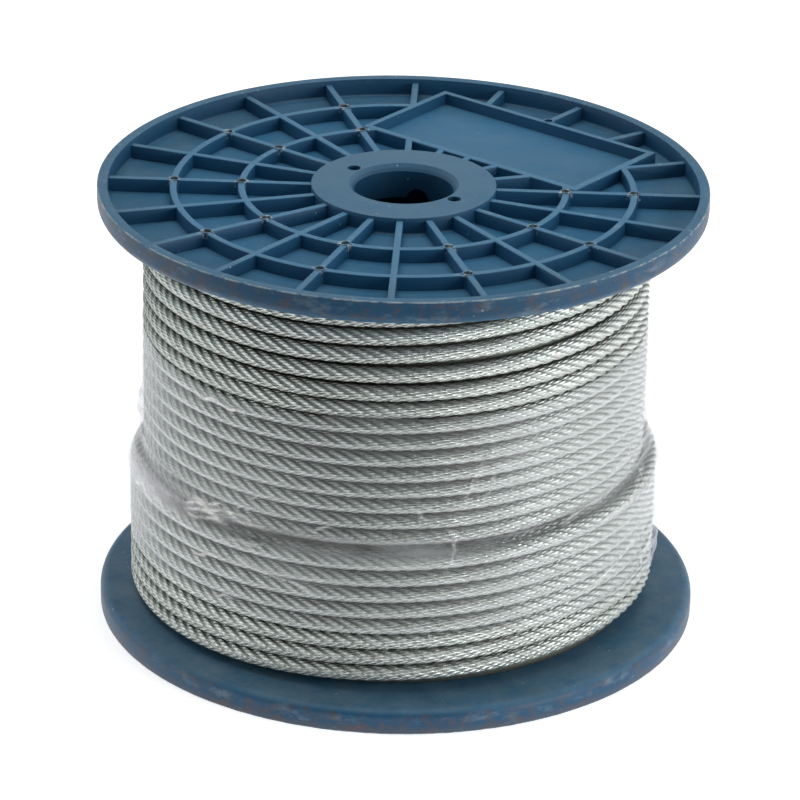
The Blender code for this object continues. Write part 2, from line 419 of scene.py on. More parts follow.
def rope_height(turns):
    """The height of the rope's middle: the turn's own, a gap opening right of the front, and some wander."""
    index, part = turn_at(turns)
    opening = 1.0 - smooth(2.1, 3.0, index)
    bulge = smooth(-0.06, 0.10, part) * (1.0 - smooth(0.25, 0.45, part))
    angle = 2.0 * math.pi * part
    wander = noise.noise(Vector((1.6 * math.cos(angle), 1.6 * math.sin(angle), 0.35 * index)))
    height = height_at(index) + 0.9 * MM * opening * bulge + 0.22 * MM * wander
    return min(max(height, WINDING_LOW + ROPE / 2), WINDING_HIGH - ROPE / 2)


def rope_place(turns, crest):
    angle = FRONT + 360.0 * turns
    return WINDING_CENTRE + polar(crest - ROPE / 2, angle, rope_height(turns))


def rope_outline():
    """The rope's section: six strands side by side, as a closed curve for the bevel."""
    strand = ROPE / 6
    middle = ROPE / 2 - strand
    points = []
    for index in range(STRANDS):
        turn = 2.0 * math.pi * index / STRANDS
        for degrees in (-72, -36, 0, 36, 72):
            side = math.radians(degrees)
            x = middle + strand * math.cos(side)
            y = strand * math.sin(side)
            points.append((x * math.cos(turn) - y * math.sin(turn), x * math.sin(turn) + y * math.cos(turn)))
        groove = turn + math.pi / STRANDS
        points.append((0.385 * ROPE * math.cos(groove), 0.385 * ROPE * math.sin(groove)))
    data = bpy.data.curves.new("rope_outline", "CURVE")
    data.dimensions = "2D"
    spline = data.splines.new("POLY")
    spline.points.add(len(points) - 1)
    for point, (x, y) in zip(spline.points, points):
        point.co = (x, y, 0.0, 1.0)
    spline.use_cyclic_u = True
    return link("rope_outline", data)


def rope_piece(name, outline, places, start):
    """A length of rope through the places. The strands' twist goes on from start, a length along it."""
    data = bpy.data.curves.new(name, "CURVE")
    data.dimensions = "3D"
    data.twist_mode = "Z_UP"
    data.bevel_mode = "OBJECT"
    data.bevel_object = outline
    data.use_fill_caps = True
    spline = data.splines.new("POLY")
    spline.points.add(len(places) - 1)
    along = start
    for index, (point, place) in enumerate(zip(spline.points, places)):
        if index:
            along += (place - places[index - 1]).length
        point.co = (*place, 1.0)
        point.tilt = 2.0 * math.pi * ((along / LAY) % 1.0)
    curve = link(name, data)
    mesh = evaluated(curve)
    bpy.data.objects.remove(curve, do_unlink=True)
    strand_map(mesh, len(outline.data.splines[0].points), places, start)
    mesh.shade_smooth()
    mesh.set_sharp_from_angle(angle=math.radians(55))
    return link(name, mesh), along


def strand_map(mesh, sides, places, start):
    """A UV map with the length along the rope in millimetres and the share of the way round it."""
    along = [start]
    for a, b in zip(places, places[1:]):
        along.append(along[-1] + (b - a).length)
    along = np.array(along) / MM
    corner = np.zeros(len(mesh.loops), np.int32)
    mesh.loops.foreach_get("vertex_index", corner)
    starts = np.zeros(len(mesh.polygons), np.int32)
    totals = np.zeros(len(mesh.polygons), np.int32)
    mesh.polygons.foreach_get("loop_start", starts)
    mesh.polygons.foreach_get("loop_total", totals)
    face = np.repeat(np.arange(len(starts)), totals)
    ring = np.minimum(corner // sides, len(along) - 1)
    side = corner % sides
    wraps = np.zeros(len(starts), bool)
    low = np.full(len(starts), sides)
    high = np.zeros(len(starts), np.int64)
    np.minimum.at(low, face, side)
    np.maximum.at(high, face, side)
    wraps = (low == 0) & (high == sides - 1)
    around = side + np.where(wraps[face] & (side == 0), sides, 0)
    layer = mesh.uv_layers.active or mesh.uv_layers.new(name="strands")
    layer.name = "strands"
    values = np.stack([along[ring], around / sides], axis=1).astype(np.float32)
    layer.data.foreach_set("uv", values.ravel())

    # How high a point lies on its own turn, from -1 to 1, for the painted shade between the turns
    points = np.zeros(3 * len(mesh.vertices), np.float32)
    mesh.vertices.foreach_get("co", points)
    middles = np.array([place.z for place in places])
    nearest = np.minimum(np.arange(len(mesh.vertices)) // sides, len(places) - 1)
    level = mesh.attributes.new("level_on_turn", "FLOAT", "POINT")
    level.data.foreach_set("value", ((points[2::3] - middles[nearest]) / (ROPE / 2)).astype(np.float32))


def places_between(low, high, crest_at):
    count = int((high - low) * 2.0 * math.pi * RING_RADIUS / RING_SPACING)
    places = []
    for index in range(count + 1):
        turns = low + (high - low) * index / count
        places.append(rope_place(turns, crest_at(turns)))
    return places


def rope():
    """The rope's visible turns, in three lengths: two of the upper layer and one of the layer over it."""
    outline = rope_outline()

    def upper(turns):
        return UPPER_CREST

    def outer(turns):
        dive = 1.0 - smooth(-(UPPER_TURNS + OUTER_TURNS) + 0.30, -(UPPER_TURNS + OUTER_TURNS) + 0.46, turns)
        return OUTER_CREST - dive * 6.5 * MM

    upper_low = -(UPPER_TURNS + 0.55)
    middle = -7.5
    outer_low = -(UPPER_TURNS + OUTER_TURNS) + 0.26
    outer_high = -UPPER_TURNS + 0.62
    places = places_between(upper_low, middle, upper)
    middle_turns, along = rope_piece("rope_middle_turns", outline, places, 0.0)
    places = places_between(middle, 0.5, upper)
    upper_turns, along = rope_piece("rope_upper_turns", outline, places, along)
    places = places_between(outer_low, outer_high, outer)
    outer_turns, along = rope_piece("rope_outer_turns", outline, places, 0.0)
    bpy.data.objects.remove(outline, do_unlink=True)
    return upper_turns, middle_turns, outer_turns


def core():
    """The layers below: a turned body with a round edge for each turn, seen only between the turns above."""
    low = WINDING_LOW
    high = WINDING_HIGH
    inner = BARREL_RADIUS + GAP
    step = OUTER_TOP_TURN + ROPE / 2
    pitch = 6.1 * MM
    section = [(inner, high)]
    turns = int((high - low) / pitch)
    pitch = (high - low) / turns
    for index in reversed(range(turns)):
        middle = low + (index + 0.5) * pitch
        crest = UPPER_CREST - 0.88 * ROPE if middle > step - pitch else OUTER_CREST - 0.88 * ROPE
        section += arc((crest - ROPE / 2, middle), ROPE / 2, 62, -62, 6)
    section.append((inner, low))
    bm = bmesh.new()
    spun(bm, section, 160)
    bmesh.ops.translate(bm, vec=WINDING_CENTRE, verts=[v for v in bm.verts if v.co.xy.length > 2 * inner])
    mesh = mesh_of("rope_lower_layers", bm)
    mesh.shade_smooth()
    mesh.set_sharp_from_angle(angle=math.radians(50))
    return link("rope_lower_layers", mesh)


# Stretch film


def film_edge(points, degrees):
    """A height read from a few (angle, height) pairs, evenly blended, closed round the reel."""
    angles = [a for a, _ in points]
    heights = [h for _, h in points]
    value = (degrees + 180.0) % 360.0 - 180.0
    return float(np.interp(value, angles, heights, period=360.0))


# The film's edges, as heights in mm at a few angles round the reel
FILM_TOP_EDGE = (
    (-180, 109.0),
    (-150, 107.5),
    (-120, 106.5),
    (-90, 109.5),
    (-60, 108.0),
    (-30, 111.0),
    (0, 109.0),
    (90, 107.0),
)
FILM_LOW_EDGE = (
    (-180, 31.0),
    (-120, 31.5),
    (-70, 31.0),
    (-50, 28.5),
    (-30, 26.5),
    (-10, 22.0),
    (20, 27.0),
    (100, 30.0),
)


def around_from(degrees, middle):
    """Degrees from a middle, from -180 to 180."""
    return (degrees - middle + 180.0) % 360.0 - 180.0


def crease(value, width):
    return math.exp(-((value / width) ** 2))


CREST_GRID = np.linspace(-23.0, 1.0, 1201)
CREST_HEIGHTS = np.array([height_at(-t) for t in CREST_GRID])


def film_phase(turns, height):
    """Where a height falls among the turns, so many turns past the front: whole numbers are crests."""
    index = float(np.interp(height, CREST_HEIGHTS, -CREST_GRID))
    part = (turns + 0.5) % 1.0 - 0.5
    return index + climb(part, smooth(11.0, 20.0, index)) + turns - part


def above_step(degrees, height):
    """How far a place is above the upper edge of the outer layer, which climbs round the reel."""
    part = around_from(degrees, FRONT) / 360.0
    return height - (OUTER_TOP_TURN + 0.5 * ROPE) - 5.5 * MM * climb(part, 0.3)


def film_radius(degrees, height, phase):
    """The film's distance from the winding's axis: on the crests, bridging the step and each valley."""
    over = above_step(degrees, height)
    loose = crease(around_from(degrees, -158.0), 32.0)
    bridge = 1.0 - smooth(-2.5 * MM, (3.5 + 5.0 * loose) * MM, over)
    base = UPPER_CREST + (OUTER_CREST - UPPER_CREST) * bridge
    spot = Vector((math.cos(math.radians(degrees)), math.sin(math.radians(degrees)), 0.0))
    slack = noise.noise(Vector((spot.x * 5.0, spot.y * 5.0, height / MM * 0.06)))
    tight = noise.noise(Vector((spot.x * 2.2 + 7.0, spot.y * 2.2, height / MM * 0.03)))
    valley = 0.5 - 0.5 * math.cos(2.0 * math.pi * phase)
    on_turns = 1.0 - loose * crease(over - 3.0 * MM, 4.0 * MM)
    sag = (0.6 + 0.3 * tight) * MM * valley * on_turns
    return base + 0.12 * MM - sag + (0.22 + 0.22 * slack) * MM


# Places where the film stands off the rope: angle, height in mm, their reach each way and how far it stands
FILM_BULGES = (
    (-152.0, 63.0, 14.0, 5.5, 1.6),
    (-176.0, 62.0, 10.0, 7.0, 1.8),
    (-2.0, 66.0, 12.0, 6.0, 2.2),
    (-176.0, 76.0, 5.0, 5.0, 2.2),
    (-12.0, 33.0, 7.0, 8.0, 2.4),
    (-31.0, 28.0, 9.0, 3.0, 1.2),
    (-78.0, 70.0, 4.0, 9.0, 0.7),
    (60.0, 60.0, 20.0, 6.0, 1.5),
    (120.0, 58.0, 16.0, 5.0, 1.2),
)

# Folds: from and to as (angle, height in mm), width in mm and how far each stands up
FILM_FOLDS = (
    ((-125.0, 52.5), (-105.0, 44.0), 1.0, 0.5),
    ((-68.0, 96.0), (-76.0, 73.0), 0.8, 0.45),
    ((-76.0, 73.0), (-79.0, 52.0), 0.8, 0.5),
    ((-84.0, 75.0), (-79.0, 62.0), 0.7, 0.4),
    ((-140.0, 101.0), (-112.0, 107.0), 0.9, 0.4),
    ((-150.0, 57.0), (-120.0, 61.0), 1.1, 0.5),
    ((-60.0, 60.0), (-30.0, 68.0), 1.1, 0.45),
    ((-45.0, 35.0), (-20.0, 44.0), 1.0, 0.4),
    ((30.0, 50.0), (75.0, 80.0), 1.2, 0.6),
    ((110.0, 95.0), (150.0, 60.0), 1.2, 0.6),
)


def fold_height(degrees, height, folds):
    total = 0.0
    for (a0, h0), (a1, h1), width, stand in folds:
        scale = math.radians(1.0) * 90.0
        x = around_from(degrees, a0) * scale
        y = height / MM - h0
        dx = (a1 - a0) * scale
        dy = h1 - h0
        length = math.hypot(dx, dy)
        t = (x * dx + y * dy) / (length * length)
        off = (x * dy - y * dx) / length
        off += 1.2 * math.sin(7.0 * t + h0) * width
        if -0.1 < t < 1.1:
            total += stand * crease(off, width) * smooth(-0.1, 0.15, t) * (1.0 - smooth(0.85, 1.1, t))
    return total * MM


# Milky places: angle, height in mm, their reach each way in degrees and mm, and strength
FILM_HAZES = (
    (-52.0, 88.0, 20.0, 26.0, 0.20),
    (-30.0, 70.0, 16.0, 40.0, 0.14),
    (-60.0, 46.0, 14.0, 10.0, 0.14),
    (-172.0, 78.0, 9.0, 9.0, 0.35),
    (-168.0, 58.0, 10.0, 8.0, 0.30),
    (-158.0, 84.0, 10.0, 18.0, 0.14),
    (-162.0, 46.0, 12.0, 12.0, 0.16),
    (-112.0, 50.0, 12.0, 5.0, 0.14),
    (-86.0, 60.0, 10.0, 4.0, 0.18),
    (-108.0, 60.0, 20.0, 3.2, 0.22),
    (-76.0, 61.0, 16.0, 3.2, 0.18),
    (-20.0, 52.0, 18.0, 12.0, 0.10),
    (-128.0, 70.0, 16.0, 14.0, 0.12),
    (40.0, 75.0, 40.0, 25.0, 0.18),
    (120.0, 60.0, 35.0, 25.0, 0.16),
)

# Painted highlight streaks along ridges where the film is pulled tight: from, to, width in mm and strength
FILM_STREAKS = (
    ((-139.0, 103.4), (-131.0, 103.2), 0.8, 1.0),
    ((-131.0, 103.2), (-124.0, 102.2), 0.6, 0.95),
    ((-140.0, 63.6), (-131.0, 65.5), 0.45, 0.90),
    ((-131.0, 65.5), (-122.0, 63.6), 0.40, 0.80),
    ((-141.0, 62.2), (-131.0, 63.8), 0.50, 0.95),
    ((-131.0, 63.8), (-119.0, 62.2), 0.40, 0.75),
    ((-141.0, 60.9), (-130.0, 62.1), 0.45, 0.90),
    ((-140.0, 59.6), (-128.0, 60.6), 0.45, 0.80),
    ((-130.0, 55.3), (-118.0, 58.6), 0.50, 0.80),
    ((-138.0, 46.5), (-129.0, 48.6), 0.6, 0.70),
    ((-127.0, 67.2), (-123.0, 67.9), 0.5, 0.55),
    ((-123.0, 72.5), (-119.0, 74.1), 0.45, 0.50),
    ((-110.0, 64.9), (-103.0, 67.3), 0.4, 0.60),
    ((-164.0, 55.3), (-152.0, 56.6), 1.0, 0.38),
    ((-152.0, 56.6), (-144.0, 57.0), 0.9, 0.42),
    ((-144.0, 57.0), (-136.0, 54.9), 0.8, 0.40),
    ((-131.0, 34.5), (-125.0, 35.0), 0.6, 0.60),
    ((-14.0, 62.9), (-18.0, 61.4), 0.4, 0.75),
    ((-18.0, 61.4), (-40.0, 58.0), 0.4, 0.65),
    ((-18.0, 76.6), (-23.0, 71.7), 0.4, 0.65),
    ((-23.0, 71.7), (-32.0, 72.6), 0.4, 0.55),
    ((-67.0, 85.2), (-69.0, 77.7), 0.4, 0.50),
    ((-125.0, 52.5), (-105.0, 44.0), 0.55, 0.55),
    ((-68.0, 96.6), (-76.0, 73.5), 0.4, 0.30),
    ((-85.0, 75.5), (-82.0, 71.5), 0.45, 0.60),
    ((-77.5, 68.0), (-75.0, 63.0), 0.4, 0.45),
    ((-76.0, 63.0), (-79.0, 52.5), 0.35, 0.30),
    ((-58.0, 100.0), (-36.0, 104.0), 0.5, 0.40),
    ((-50.0, 62.0), (-30.0, 66.0), 0.6, 0.45),
    ((-48.0, 34.0), (-24.0, 43.0), 0.6, 0.45),
    ((-22.0, 30.0), (-14.0, 40.0), 0.6, 0.50),
)


def film_state(degrees, height, phase):
    """How milky the film is, how bright its painted highlight streaks are and how far off the rope it stands
    in the pocket, which carries painted shade, from 0 to 1, and the turns' phase.
    """
    haze = 0.0
    for angle, middle, reach, tall, strength in FILM_HAZES:
        x = around_from(degrees, angle) / reach
        y = (height / MM - middle) / tall
        haze += strength * math.exp(-x * x - y * y)
    streak = min(1.0, fold_height(degrees, height, FILM_STREAKS) / MM)
    # The pocket where the film stands off the rope; the material paints it grey as painted shade
    pocket = crease(around_from(degrees, -153.0), 14.0)
    off = pocket * crease(above_step(degrees, height) - 2.5 * MM, 3.6 * MM)
    return (min(haze, 1.0), streak, off, phase)


def film():
    """One sheet of film wound round the turns, as a grid round the drum. Its ends overlap at the back."""
    columns, rows = FILM_GRID
    around = 360.0 + FILM_OVERLAP
    bm = bmesh.new()
    state = bm.verts.layers.float_color.new("film_state")
    grid = bmesh.ops.create_grid(bm, x_segments=columns, y_segments=rows, size=0.5)["verts"]
    for vert in grid:
        degrees = (vert.co.x + 0.5) * around + 90.0
        share = vert.co.y + 0.5
        phase_turns = (degrees - FRONT) / 360.0
        low = film_edge(FILM_LOW_EDGE, degrees) * MM
        high = film_edge(FILM_TOP_EDGE, degrees) * MM
        round_reel = polar(1.0, degrees)
        ragged = noise.noise(Vector((4.0 * round_reel.x, 4.0 * round_reel.y, 3.0 * round(share))))
        ragged += 0.5 * noise.noise(Vector((17.0 * round_reel.x, 17.0 * round_reel.y, 9.0 * round(share))))
        low += 1.2 * MM * ragged
        high += 1.2 * MM * ragged
        height = low + (high - low) * share
        phase = film_phase(phase_turns, height)
        radius = film_radius(degrees, height, phase) + 0.3 * MM * smooth(440.0, 452.0, degrees)
        for angle, middle, reach, tall, stand in FILM_BULGES:
            x = around_from(degrees, angle) / reach
            y = (height / MM - middle) / tall
            radius += stand * MM * math.exp(-x * x - y * y)
        radius += fold_height(degrees, height, FILM_FOLDS)
        vert[state] = film_state(degrees, height, phase)
        vert.co = WINDING_CENTRE + polar(radius, degrees, height)
    mesh = bpy.data.meshes.new("stretch_film_wrap")
    bm.to_mesh(mesh)
    bm.free()
    mesh.shade_smooth()
    return link("stretch_film_wrap", mesh)


# Materials


def add(tree, kind, inputs=None, **settings):
    """Adds a node with its settings, and gives its inputs values or links."""
    made = tree.nodes.new("ShaderNode" + kind)
    for name, value in settings.items():
        setattr(made, name, value)
    for name, value in (inputs or {}).items():
        if isinstance(value, bpy.types.NodeSocket):
            tree.links.new(value, made.inputs[name])
        else:
            made.inputs[name].default_value = value
    return made


def new_material(name):
    made = bpy.data.materials.new(name)
    made.use_nodes = True
    made.node_tree.nodes.clear()
    return made, made.node_tree


def per_mm(size):
    """The scale that makes a pattern's cells this many millimetres across, on coordinates in metres."""
    return 1.0 / (size * MM)


def painted(tree, colour, shares, layers):
    """Lays tones over a colour. Each layer's strength is the product of the shares that it names."""
    for names, tone in layers:
        share = shares[names[0]]
        for name in names[1:]:
            share = add(tree, "Math", {0: share, 1: shares[name]}, operation="MULTIPLY").outputs[0]
        colour = add(tree, "Mix", {0: share, 6: colour, 7: tone}, data_type="RGBA").outputs[2]
    return colour


def blue_plastic(name, face_height, down, dustiness):
    """Moulded polypropylene: satin blue, darker towards its rim, with dust, scuffs and nicked edges, painted
    shade on its walls, a painted sheen on what stands proud and a painted highlight along the rims' outer
    edges.

    face_height is the height of the rims' faces, down is -1 on the flange whose ribs face down, and
    dustiness is how much pale dust lies on what faces up."""
    made, tree = new_material(name)
    place = add(tree, "TexCoord").outputs["Object"]
    split = add(tree, "SeparateXYZ", {"Vector": place})
    geometry = add(tree, "NewGeometry")
    facing = add(tree, "SeparateXYZ", {"Vector": geometry.outputs["Normal"]}).outputs["Z"]
    tilted = add(tree, "Math", {0: facing}, operation="ABSOLUTE").outputs[0]
    level = add(tree, "CombineXYZ", {"X": split.outputs["X"], "Y": split.outputs["Y"]})
    radius = add(tree, "VectorMath", {0: level.outputs[0]}, operation="LENGTH").outputs["Value"]
    below_face = {0: split.outputs["Z"], 1: -down, 2: face_height * down}
    depth = add(tree, "Math", below_face, operation="MULTIPLY_ADD").outputs[0]

    # Patterns: where they lie, the size of their cells in mm, detail and roughness
    upright = add(tree, "Mapping", {"Vector": place, "Scale": (1.0, 1.0, 2.5)}).outputs[0]
    inputs = {"Vector": place, "Rotation": (0.0, 0.0, 0.6), "Scale": (1.0, 0.06, 1.0)}
    drawn_out = add(tree, "Mapping", inputs).outputs[0]
    patterns = {
        "mottle": (place, 40.0, 3.0, 0.5),
        "smudges": (place, 14.0, 6.0, 0.65),
        "chips": (place, 3.5, 6.0, 0.8),
        "dust": (place, 11.0, 8.0, 0.7),
        "specks": (place, 6.0, 2.0, 0.5),
        "ragged": (place, 2.2, 5.0, 0.75),
        "dirt": (place, 5.0, 7.0, 0.75),
        "scuffs": (upright, 17.0, 8.0, 0.72),
        "scratches": (drawn_out, 0.9, 3.0, 0.5),
        # Mould texture is about 0.1 mm in the real flange, drawn at 0.5 mm so that it shows
        "grain": (place, 0.5, 2.0, 0.5),
    }
    for key, (where, size, detail, roughness) in patterns.items():
        inputs = {"Vector": where, "Scale": per_mm(size), "Detail": detail, "Roughness": roughness}
        patterns[key] = add(tree, "TexNoise", inputs).outputs["Fac"]

    # How far a place is from an ejector pin's mark: each second rib's crossings with the two rings
    across = add(tree, "Math", {0: split.outputs["Y"], 1: down}, operation="MULTIPLY")
    heading = add(tree, "Math", {0: across.outputs[0], 1: split.outputs["X"]}, operation="ARCTAN2")
    spacing = math.radians(720.0 / RIB_COUNT)
    from_first = {0: heading.outputs[0], 1: 1.0 / spacing, 2: -math.radians(RIB_PHASE) / spacing}
    counted = add(tree, "Math", from_first, operation="MULTIPLY_ADD")
    folded = add(tree, "Math", {0: counted.outputs[0], 1: 0.5}, operation="PINGPONG")
    sideways = add(tree, "Math", {0: folded.outputs[0], 1: radius}, operation="MULTIPLY")
    sideways = add(tree, "Math", {0: sideways.outputs[0], 1: spacing}, operation="MULTIPLY")
    ring_offs = []
    for ring_radius in RING_RADII:
        ring_off = add(tree, "Math", {0: radius, 1: ring_radius}, operation="SUBTRACT")
        ring_offs.append(add(tree, "Math", {0: ring_off.outputs[0]}, operation="ABSOLUTE").outputs[0])
    ring_off = add(tree, "Math", {0: ring_offs[0], 1: ring_offs[1]}, operation="MINIMUM")
    off = add(tree, "CombineXYZ", {"X": sideways.outputs[0], "Y": ring_off.outputs[0]})
    off = add(tree, "VectorMath", {0: off.outputs[0]}, operation="LENGTH").outputs["Value"]
    farther = {0: patterns["ragged"], 1: 3.4 * MM, 2: off}
    ragged_off = add(tree, "Math", farther, operation="MULTIPLY_ADD").outputs[0]

    # Ramps: what they follow, from and to, and their values there
    shares = {
        "outer cells": (radius, 78.0 * MM, 92.0 * MM, 0.0, 0.75),
        "hub": (radius, HUB_RADIUS + 0.6 * MM, HUB_RADIUS - 0.4 * MM, 0.0, 0.65),
        "off hub": (radius, HUB_RADIUS - 1.5 * MM, HUB_RADIUS, 0.0, 1.0),
        "sheen and wear": (radius, 98.0 * MM, 101.5 * MM, 0.24, 0.08),
        "raised": (depth, 2.1 * MM, 1.5 * MM, 0.0, 1.0),
        "chips": (patterns["chips"], 0.57, 0.66, 0.0, 0.42),
        "walls": (tilted, 0.75, 0.45, 0.0, 0.6),
        "dust": (patterns["dust"], 0.32, 0.75, 0.0, dustiness),
        "upward": (facing, 0.5, 0.95, 0.0, 1.0),
        "speck size": (patterns["specks"], 0.50, 0.78, 0.0, 0.16),
        "on ribs": (depth, 3.9 * MM, 3.3 * MM, 0.0, 1.0),
        "dirty": (patterns["mottle"], 0.40, 0.58, 0.15, 0.85),
        "grime": (ragged_off, 4.0 * MM, 3.0 * MM, 0.0, 1.0),
        "sunk": (off, 1.75 * MM, 1.35 * MM, 0.0, 0.6),
        "near pin": (off, 3.0 * MM, 2.3 * MM, 0.0, 1.0),
        "torn": (patterns["ragged"], 0.53, 0.60, 0.0, 0.9),
        "rim": (radius, REEL_RADIUS - 1.2 * MM, REEL_RADIUS - 0.2 * MM, 0.0, 1.0),
        "scuffs": (patterns["scuffs"], 0.54, 0.68, 0.0, 0.5),
        "dirt": (patterns["dirt"], 0.49, 0.66, 0.0, 0.7),
        "soiled": (depth, 3.2 * MM, 0.4 * MM, 0.0, 0.4 - 0.4 * down),
        "edge level": (depth, 0.55 * MM, 0.3 * MM, 0.0, 1.0),
        "edge out": (radius, REEL_RADIUS - 0.45 * MM, REEL_RADIUS - 0.3 * MM, 0.0, 1.0),
        "nicks and highlight": (patterns["dirt"], 0.42, 0.58, 0.05, 0.75),
        "scratches": (patterns["scratches"], 0.66, 0.72, 0.0, 1.0),
        "roughness": (patterns["smudges"], 0.0, 1.0, 0.36, 0.52),
    }
    for key, (value, from_min, from_max, to_min, to_max) in shares.items():
        inputs = {"Value": value, "From Min": from_min, "From Max": from_max}
        inputs.update({"To Min": to_min, "To Max": to_max})
        shares[key] = add(tree, "MapRange", inputs).outputs["Result"]
    shares["smudges"] = patterns["smudges"]
    shares["patchy"] = patterns["scuffs"]
    specks = add(tree, "TexVoronoi", {"Vector": place, "Scale": per_mm(3.4)}, feature="F1")
    near = {0: specks.outputs["Distance"], 1: shares["speck size"]}
    speck = add(tree, "Math", near, operation="LESS_THAN")
    shares["specks"] = add(tree, "Math", {0: speck.outputs[0], 1: 0.7}, operation="MULTIPLY").outputs[0]

    blues = {0: patterns["mottle"], 6: rgb("#2B6588"), 7: rgb("#36749B")}
    bare = add(tree, "Mix", blues, data_type="RGBA").outputs[2]
    browns = {0: patterns["smudges"], 6: rgb("#141413"), 7: rgb("#5A5347")}
    grime_tone = add(tree, "Mix", browns, data_type="RGBA").outputs[2]
    layers = (
        # Handling has darkened the outer cells, and use has worn and chipped what stands proud
        # The outer cells are darker in patches; what stands proud is painted lighter, a painted sheen with
        # some wear, and chipped by use
        (("smudges", "outer cells"), rgb("#24404F")),
        (("hub",), rgb("#1D4560")),
        (("raised", "sheen and wear"), rgb("#6C9DBB")),
        (("raised", "chips", "off hub"), rgb("#9DB9C9")),
        # Painted shade: walls are painted a deeper, darker blue
        (("walls",), rgb("#0E3C5E")),
        (("dust", "upward"), rgb("#8A9696")),
        (("specks",), rgb("#A3B4BC")),
        # Grime round the ejector pins' marks, dust in them and torn flash round them
        (("grime", "dirty", "on ribs"), grime_tone),
        (("sunk", "on ribs"), rgb("#6C7A78")),
        (("near pin", "torn", "on ribs"), rgb("#B4C4CC")),
        # The rim's side is scuffed and dirty, and soiled where it stands on the ground
        (("scuffs", "rim"), rgb("#7C919C")),
        (("dirt", "rim"), rgb("#5B4A3E")),
        (("soiled", "patchy", "rim"), rgb("#6A5646")),
        # The rims' sharp outer edges carry a patchy painted highlight, pale where nicked
        (("edge level", "edge out", "nicks and highlight"), rgb("#A3B5BD")),
    )
    texture = {0: patterns["grain"], 1: 0.5, 2: shares["scratches"]}
    relief = add(tree, "Math", texture, operation="MULTIPLY_ADD")
    bump = add(tree, "Bump", {"Height": relief.outputs[0], "Strength": 0.25, "Distance": 0.05 * MM})
    shader = add(
        tree,
        "BsdfPrincipled",
        {
            "Base Color": painted(tree, bare, shares, layers),
            "Roughness": shares["roughness"],
            "Normal": bump.outputs[0],
            "IOR": 1.45,
            "Specular IOR Level": 0.4,
        },
    )
    add(tree, "OutputMaterial", {"Surface": shader.outputs[0]})
    return made


